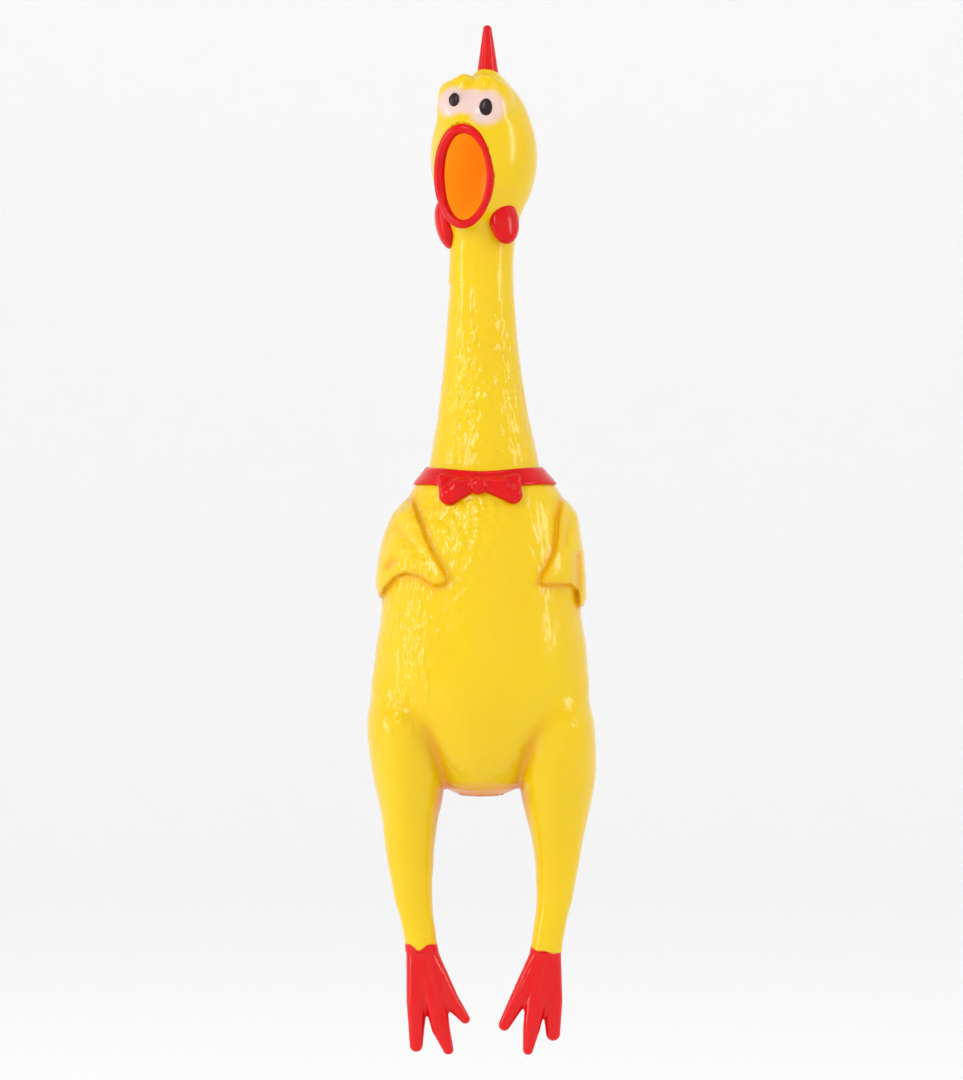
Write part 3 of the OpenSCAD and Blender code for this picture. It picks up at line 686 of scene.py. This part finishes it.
class CHICKEN_OT_skin(bpy.types.Operator):
    """Casts the yellow skin in one, then parts it where it bends"""
    bl_idname = "object.chicken_skin"
    bl_label = "Skin"

    def execute(self, context):
        sizes, finish = context.scene.chicken_sizes, context.scene.chicken_finish
        vinyl, orange = finish_skin(finish), finish_gullet(finish)
        points, faces, normals = net(skin_distance, SKIN_LOW, SKIN_HIGH, sizes.skin_step / MM)
        x, y, z = points.T
        h = to_head(x, y, z)
        head = z > HEAD_TOP_OF_NECK + 3
        fields = {"painted_fold_shade": self.painted_fold_shade(points), "eye": self.eye_field(h) * head, "red": self.red(x, z),
                  "pimple": self.pimples(points, head), "deep": self.gullet_paint_and_shade(h)}
        in_gullet = head & (GULLET.distance(h[0], h[2] - MOUTH_Z, -h[1]) < 0.6) & (h[1] > RIM_Y - 4)
        middle = points[faces].mean(1)
        mz, mx = middle[:, 2], middle[:, 0]
        gullet = in_gullet[faces].all(1)
        # The neck is parted half way between its bends
        bends = [joint_mm(n)[2] for n in ("neck_root_bend", "neck_low_sway", "neck_high_bend", "head_sway")]
        halfway = [(a + b) / 2 for a, b in zip(bends, bends[1:])]
        neck = [COLLAR_Z + 0.3, *halfway, 2 * bends[3] - halfway[2]]
        nodes = ["neck_section_1", "neck_section_2", "neck_section_3", "neck_crown"]

        def part(name, chosen, material=vinyl):
            return piece(name, points, faces[chosen], normals, material, fields)

        # Each ring is baked in place, parented to no body
        for i in range(4):
            lo, hi = neck[i], neck[i + 1]
            ring = part(f"neck_skin_{i + 1}", (mz >= lo) & (mz < hi))
            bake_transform(ring)
            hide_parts(nodes[i])
        skull = part("head_skin_cast", (mz >= neck[4]) & ~gullet)
        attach(skull, "head")
        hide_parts("head_skin", "eye_mask")
        throat = part("gullet_skin", gullet, orange)
        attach(throat, "head")
        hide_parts("mouth_cup")

        top = RUMP_Z - 1.2
        levels = (("thigh_skin", "thigh"), ("shank_skin", "shank"), ("ankle_skin", "shank"))
        body = part("torso_skin_cast", (mz < neck[0]) & (mz >= top))
        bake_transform(body)
        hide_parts("torso_skin", "belly_panel", "wing_left", "wing_right")
        for name, sign in (("left", 1), ("right", -1)):
            joints = [joint_mm(f"{j}_{name}")[2] for j in ("hip", "knee", "ankle")]
            stops = [top, (joints[0] + joints[1]) / 2, (joints[1] + joints[2]) / 2, joints[2] - 8]
            mine = mx * sign > 0
            for i, (label, node) in enumerate(levels):
                ring = part(f"{label}_{name}", mine & (mz < stops[i]) & (mz >= stops[i + 1]))
                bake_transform(ring)
                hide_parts(f"{node}_{name}")
            toes = part(f"foot_skin_{name}", mine & (mz < stops[3]))
            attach(toes, f"foot_{name}")
            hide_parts(f"foot_{name}")
        return {"FINISHED"}

    def painted_fold_shade(self, points):
        """Painted shade: orange darkening in the folds of the wings and thighs, and under the rump, where
        shade falls.
        """
        order = np.argsort(points[:, 2])
        fold = np.empty(len(points))
        for part in np.array_split(order, max(1, len(order) // BATCH)):
            fold[part] = skin_parts(*points[part].T)[1]
        x, y, z = points.T
        folds = np.exp(-(fold / 1.7) ** 2)
        # Painted shade under the rump, strongest towards its middle
        rump = np.clip((RUMP_Z + 5 - z) / 5, 0, 1) * np.clip((15.5 - np.abs(x)) / 4, 0, 1)
        return np.clip(folds * 0.62 + rump, 0, 1)

    def eye_field(self, h):
        """Soft white ovals round the eyes, that run together over the beak."""
        white = 0
        ovals = ((-EYE_X + 0.2, EYE_Z + 0.3, 5.2, 4.9), (EYE_X + 0.9, EYE_Z - 1.4, 5.0, 5.6),
                 (0.8, EYE_Z + 0.3, 5.5, 4.2))
        for cx, cz, rx, rz in ovals:
            r = np.sqrt(((h[0] - cx) / rx) ** 2 + ((h[2] - cz) / rz) ** 2)
            white = np.maximum(white, np.clip((1.16 - r) / 0.45, 0, 1))
        return white * white * (3 - 2 * white) * (h[1] < -7)

    def gullet_paint_and_shade(self, h):
        """The gullet's orange deepens to one side and lightens low down: partly sprayed paint, partly painted
        shade.
        """
        return np.clip(0.42 + 0.5 * h[0] / MOUTH_W - 0.25 * np.clip((MOUTH_Z - 4 - h[2]) / 6, 0, 1), 0, 1)

    def red(self, x, z):
        """How far below the paint's edge on the shins: it dips to a point on one side and slants opposite."""
        right = ANKLE_Z - 1.9 - 1.3 * np.exp(-((x + 19.0) / 1.7) ** 2) + 0.25 * np.sin(x * 1.1)
        left = ANKLE_Z - 3.0 - 0.2 * (x - 15) + 0.25 * np.sin(x * 1.4)
        return np.where(x < 0, right, left) - z

    def pimples(self, points, head):
        """Plucked skin shows most on the front of the neck, the chest and the right flank."""
        x, y, z = points.T
        neck = np.exp(-((z - 72) / 26) ** 2) * np.clip(-y / 8, 0, 1)
        flank = np.exp(-((x + 20) / 9) ** 2) * np.clip((45 - z) / 10, 0, 1) * np.clip((z + 38) / 12, 0, 1)
        chest = 0.9 * np.exp(-((x + 6) / 13) ** 2 - ((z - 33) / 14) ** 2) + 0.25 * (z < 48) * (z > -48)
        legs = 0.12 * (z <= -48)
        return np.clip(np.maximum.reduce([neck, flank, chest, legs]), 0, 1) * np.where(head, 0.08, 1)


def trim(context, name, distance, low, high, material, body, node):
    """A small sprayed moulding, as its own smooth piece on the skin."""
    points, faces, normals = net(distance, low, high, context.scene.chicken_sizes.trim_step / MM)
    obj = piece(name, points, faces, normals, material)
    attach(obj, body)
    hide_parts(node)
    return obj


def around(node, margin):
    """A node's box in millimetres, with a margin all round."""
    lo, hi = box_mm(node)
    return lo - margin, hi + margin


class CHICKEN_OT_head_trim(bpy.types.Operator):
    """Makes the comb, the beak's rolled rim and the wattles"""
    bl_idname = "object.chicken_head_trim"
    bl_label = "Comb, rim and wattles"
    # Along the head's middle, as y, z and radius: each spike's foot and tip from the front, and the ridge
    spikes = (((-4.6, 54.0, 3.3), (-7.3, 67.6, 1.3)), ((1.2, 51.6, 2.6), (4.0, 54.4, 1.3)),
              ((6.6, 47.6, 2.5), (10.0, 51.4, 1.2)), ((10.4, 41.5, 2.3), (13.9, 45.4, 1.1)))
    ridge = (((-4, 52), (2, 50.6), 2.4), ((2, 50.6), (7.4, 46.5), 2.3), ((7.4, 46.5), (10.8, 41), 2.2))

    def execute(self, context):
        sizes, finish = context.scene.chicken_sizes, context.scene.chicken_finish
        red = finish_paint("sprayed_red_vinyl", finish.red, finish.red_deep, {})
        rim_r = sizes.rim / MM

        def comb(x, y, z):
            h = to_head(x, y, z)
            d = None
            for (*foot, r0), (*tip, r1) in self.spikes:
                spike = limb(h, (0, *foot), (0, *tip), r0, r1, 1.15)
                d = spike if d is None else join(d, spike, 1.4)
            for a, b, r in self.ridge:
                d = join(d, limb(h, (0, *a), (0, *b), r, r), 1.2)
            return d

        t = np.linspace(0, 2 * np.pi, 97)[:-1]
        line = rim_point(t)
        ahead = np.roll(line, -1, 0)

        def rim(x, y, z):
            h = to_head(x, y, z)
            p = np.stack([np.ravel(v) for v in h], 1)
            near = np.full(len(p), 9.0)
            close = np.abs(p[:, 1] - RIM_Y) < 8
            q = p[close]
            if len(q):
                best = np.full(len(q), 9.0)
                for a, b, angle in zip(line, ahead, t):
                    # thicker over the top and down the turned-away side
                    r = rim_r * (1.02 - 0.16 * math.sin(angle) - 0.08 * (math.cos(angle) < -0.4))
                    along = b - a
                    d = q - a
                    s = np.clip(d @ along / (along @ along), 0, 1)
                    best = np.minimum(best, np.linalg.norm(d - s[:, None] * along, axis=1) - r)
                near[close] = best
            return near.reshape(np.shape(x))

        lo, hi = around("comb", 8)
        trim(context, "comb_moulding", comb, lo - [0, 0, 8], hi, red, "head", "comb")
        lo, hi = around("beak_rim", 5)
        trim(context, "beak_rim_moulding", rim, lo, hi, red, "head", "beak_rim")
        for name, side, height in (("left", 1, 10.4), ("right", -1, 8.8)):
            turn = turned(-side * 28, -16)
            root = (side * 9.5, -6.6, height)

            def wattle(x, y, z, root=root, turn=turn):
                return egg(to_head(x, y, z), root, (3.2, 5.2, 7.5), turn)

            at = from_head([root])[0]
            trim(context, f"wattle_moulding_{name}", wattle, at - 9, at + 9, red, "head", f"wattle_{name}")
        return {"FINISHED"}


class CHICKEN_OT_eyes(bpy.types.Operator):
    """Sets a glossy dark oval on each eye"""
    bl_idname = "object.chicken_eyes"
    bl_label = "Pupils"

    def execute(self, context):
        finish = context.scene.chicken_finish
        # Enamel drops: near black, so wet that they carry a sharp highlight
        black = finish_paint("gloss_black_enamel", finish.pupil, "#2A0A0A", {
            "Roughness": 0.3, "Specular IOR Level": 0.3, "Subsurface Weight": 0.0}, 3.0, 0.02)
        for name, side, lean, drop in (("left", 1, 0, 1.5), ("right", -1, 14, -0.3)):
            px, pz = side * EYE_X + 0.9, EYE_Z - drop
            # Where the skin lies behind the pupil
            reach = np.linspace(-30, 0, 1200)
            ahead = from_head(np.stack([np.full(1200, px), reach, np.full(1200, pz)], 1))
            hit = reach[np.argmax(skin_distance(*ahead.T) < 0)]
            turn = turned(side * 14, lean)

            def pupil(x, y, z, turn=turn, middle=(px, hit + 0.35, pz)):
                return egg(to_head(x, y, z), middle, (2.05, 0.8, 2.7), turn)

            at = from_head([[px, hit, pz]])[0]
            trim(context, f"pupil_drop_{name}", pupil, at - 4, at + 4, black, "head", f"pupil_{name}")
        return {"FINISHED"}


class CHICKEN_OT_collar(bpy.types.Operator):
    """Ties the band and its drooping bow round the root of the neck"""
    bl_idname = "object.chicken_collar"
    bl_label = "Collar band and bow"
    # The bow's two loops, right then left: x and z at each end, and how thick each end is
    loops = (((-2.4, 43.9), (-10.4, 44.8), 1.7, 2.0), ((-2.6, 43.2), (-8.7, 40.4), 1.8, 2.9),
             ((-10.4, 44.8), (-9.2, 40.6), 2.0, 2.7), ((-3.0, 43.3), (-6.8, 42.6), 1.8, 2.8),
             ((1.2, 44.1), (9.2, 45.0), 1.6, 1.9), ((1.2, 43.2), (8.8, 40.4), 1.7, 2.5),
             ((9.3, 44.9), (9.3, 40.6), 1.9, 2.3), ((1.6, 43.5), (5.9, 42.9), 1.7, 2.5))

    def execute(self, context):
        sizes, finish = context.scene.chicken_sizes, context.scene.chicken_finish
        red = finish_paint("sprayed_red_collar", finish.red, finish.red_deep, {}, 5.0, 0.2)
        proud = sizes.band / MM
        top, low = COLLAR_Z - 0.1, COLLAR_Z - 5.5

        def band(x, y, z):
            skin = skin_distance(x, y, z)
            sag = 1.7 * np.exp(-(x / 13) ** 2) * (y < 0)
            middle, half = (top + low) / 2 - sag, (top - low) / 2
            edge = np.abs(z - middle) - half
            shell = np.abs(skin - 0.2) - proud
            return carve(shell, -edge, 1.0)

        corner, far_corner = (-27, -25, low - 3), (27, 25, top + 3)
        trim(context, "collar_band_moulding", band, corner, far_corner, red, "torso", "bow_band")

        def bow(x, y, z):
            p = (x, y, z)
            d = None
            for a, b, ra, rb in self.loops:
                lobe = limb(p, TORSO.front(*a, proud + 0.2), TORSO.front(*b, proud + 0.5), ra, rb, 0.8)
                d = lobe if d is None else join(d, lobe, 0.9)
            knot = egg(p, TORSO.front(-0.8, 43.3, proud + 1.0), (2.7, 2.2, 2.7))
            return join(d, knot, 0.5)

        trim(context, "bow_moulding", bow, (-16, -27, 34), (14, -13, 50), red, "torso", "bow_tie")
        return {"FINISHED"}


class CHICKEN_OT_sounder(bpy.types.Operator):
    """Finishes the sounder that stands in the throat"""
    bl_idname = "object.chicken_sounder"
    bl_label = "Sounder"

    def execute(self, context):
        # Injection-moulded polystyrene: a hard cream gloss with the mould's fine grain
        ivory = finish_hard("polystyrene_ivory", "#F0EAD8", {"IOR": 1.59, "Roughness": 0.3}, 0.8)
        scarlet = finish_hard("polystyrene_scarlet", "#C9252A", {"IOR": 1.59, "Roughness": 0.28}, 0.8)
        # Rolled spring brass: warm metal with a faint drawn grain
        brass = finish_hard("rolled_brass", "#D8B25A", {"Metallic": 1.0, "Roughness": 0.3}, 0.5)
        for node, material in (("sounder_barrel", ivory), ("reed_carrier", ivory), ("sounder_cap", ivory),
                               ("reed_clamp", scarlet), ("reed", brass)):
            obj = frame["nodes"][node]
            for place in obj.material_slots:
                place.link = "OBJECT"
                place.material = material
        return {"FINISHED"}


class CHICKEN_OT_stage(bpy.types.Operator):
    """Sets the pale sweep, the soft lights and the camera"""
    bl_idname = "object.chicken_stage"
    bl_label = "Stage"

    def execute(self, context):
        self.sweep(context)
        self.lights(context)
        self.camera(context)
        return {"FINISHED"}

    def sweep(self, context):
        """A round floor that curves up into a wall all about, well below and away from the toy."""
        floor, wall, bend, turns = -0.24, 2.1, 0.9, 96
        arc = [(wall - bend + bend * math.sin(a), floor + bend - bend * math.cos(a))
               for a in np.linspace(0, math.pi / 2, 25)[1:]]
        line = [(0.7, floor), (wall - bend, floor), *arc, (wall, 2.4)]
        rings = len(line)
        verts = [(r * math.cos(2 * math.pi * i / turns), r * math.sin(2 * math.pi * i / turns), z)
                 for i in range(turns) for r, z in line]
        faces = []
        for i in range(turns):
            here, after = i * rings, (i + 1) % turns * rings
            faces += [(here + k, after + k, after + k + 1, here + k + 1) for k in range(rings - 1)]
        verts.append((0, 0, floor))
        faces += [(len(verts) - 1, (i + 1) % turns * rings, i * rings) for i in range(turns)]
        mesh = bpy.data.meshes.new("paper_sweep")
        mesh.from_pydata(verts, [], faces)
        mesh.polygons.foreach_set("use_smooth", [True] * len(mesh.polygons))
        obj = bpy.data.objects.new("paper_sweep", mesh)
        context.collection.objects.link(obj)
        # Matt translucent background paper, lit from behind as well: an even near-white with a faint tooth
        material, tree, shader = surface("matt_background_paper", {
            "Roughness": 0.9, "Specular IOR Level": 0.1,
            "Emission Color": (1, 1, 1, 1), "Emission Strength": 0.26})
        where = add(tree, "ShaderNodeTexCoord").outputs["Object"]
        tooth = clouds(tree, where, 2.5, 2.0)
        tree.links.new(mixed(tree, "#E6E6E6", "#E1E1E1", tooth), shader.inputs["Base Color"])
        mesh.materials.append(material)

    def lights(self, context):
        """Soft lamps, each with its place, width and height in metres and its watts, and a pale world."""
        aim = Vector((0, 0, 0.03))
        lamps = [("key_softbox", (-0.62, -0.95, 0.62), (0.18, 0.50), 4.0),
                 ("left_strip", (-0.9, -0.22, 0.15), (0.07, 0.7), 2.2),
                 ("right_strip", (0.85, -0.24, 0.30), (0.08, 0.5), 1.8),
                 ("top_softbox", (0.1, -0.2, 1.1), (0.6, 0.6), 1.5),
                 ("front_fill", (0.5, -1.6, 0.1), (1.2, 1.2), 1.5)]
        for name, place, (w, h), power in lamps:
            lamp = bpy.data.lights.new(name, "AREA")
            lamp.shape, lamp.size, lamp.size_y, lamp.energy = "RECTANGLE", w, h, power
            obj = bpy.data.objects.new(name, lamp)
            obj.location = place
            obj.rotation_euler = (aim - Vector(place)).to_track_quat("-Z", "Y").to_euler()
            context.collection.objects.link(obj)
        world = bpy.data.worlds.new("studio_air")
        world.use_nodes = True
        world.node_tree.nodes["Background"].inputs["Color"].default_value = (1, 1, 1, 1)
        world.node_tree.nodes["Background"].inputs["Strength"].default_value = 0.5
        context.scene.world = world
        # The toy's pure yellow and red are shown as they are, without a film curve over them
        context.scene.view_settings.view_transform = "Standard"

    def camera(self, context):
        """Straight on to the belly, far enough off that the head and feet look square."""
        lo, hi = CAD_BOX
        middle = (Vector(lo) + Vector(hi)) / 2
        lens, sensor, filled = 85.0, 36.0, 0.955
        tall = (hi[2] - lo[2]) / filled
        cam = bpy.data.cameras.new("camera")
        cam.sensor_fit, cam.sensor_height, cam.lens = "VERTICAL", sensor, lens
        distance = tall / 2 / (sensor / 2 / lens)
        obj = bpy.data.objects.new("camera", cam)
        obj.location = (middle.x, lo[1] - distance + 0.02, middle.z)
        obj.rotation_euler = (math.radians(90), 0, 0)
        context.collection.objects.link(obj)
        context.scene.camera = obj


class CHICKEN_PT_panel(bpy.types.Panel):
    bl_label = "Rubber chicken"
    bl_idname = "CHICKEN_PT_panel"
    bl_space_type = "VIEW_3D"
    bl_region_type = "UI"
    bl_category = "Chicken"

    def draw(self, context):
        for group in (context.scene.chicken_sizes, context.scene.chicken_finish):
            for key in group.bl_rna.properties.keys():
                if key not in ("rna_type", "name"):
                    self.layout.prop(group, key)
        for operator in BUILDERS:
            self.layout.operator(operator.bl_idname)


BUILDERS = (CHICKEN_OT_skin, CHICKEN_OT_head_trim, CHICKEN_OT_eyes, CHICKEN_OT_collar, CHICKEN_OT_sounder,
            CHICKEN_OT_stage)
CLASSES = (ChickenSizes, ChickenFinish, *BUILDERS, CHICKEN_PT_panel)


def register():
    for cls in CLASSES:
        bpy.utils.register_class(cls)
    bpy.types.Scene.chicken_sizes = PointerProperty(type=ChickenSizes)
    bpy.types.Scene.chicken_finish = PointerProperty(type=ChickenFinish)


def unregister():
    del bpy.types.Scene.chicken_finish
    del bpy.types.Scene.chicken_sizes
    for cls in reversed(CLASSES):
        bpy.utils.unregister_class(cls)


def main():
    register()
    bpy.ops.object.chicken_skin()
    bpy.ops.object.chicken_head_trim()
    bpy.ops.object.chicken_eyes()
    bpy.ops.object.chicken_collar()
    bpy.ops.object.chicken_sounder()
    bpy.ops.object.chicken_stage()
    bpy.context.view_layer.update()


if __name__ == "__main__":
    main()
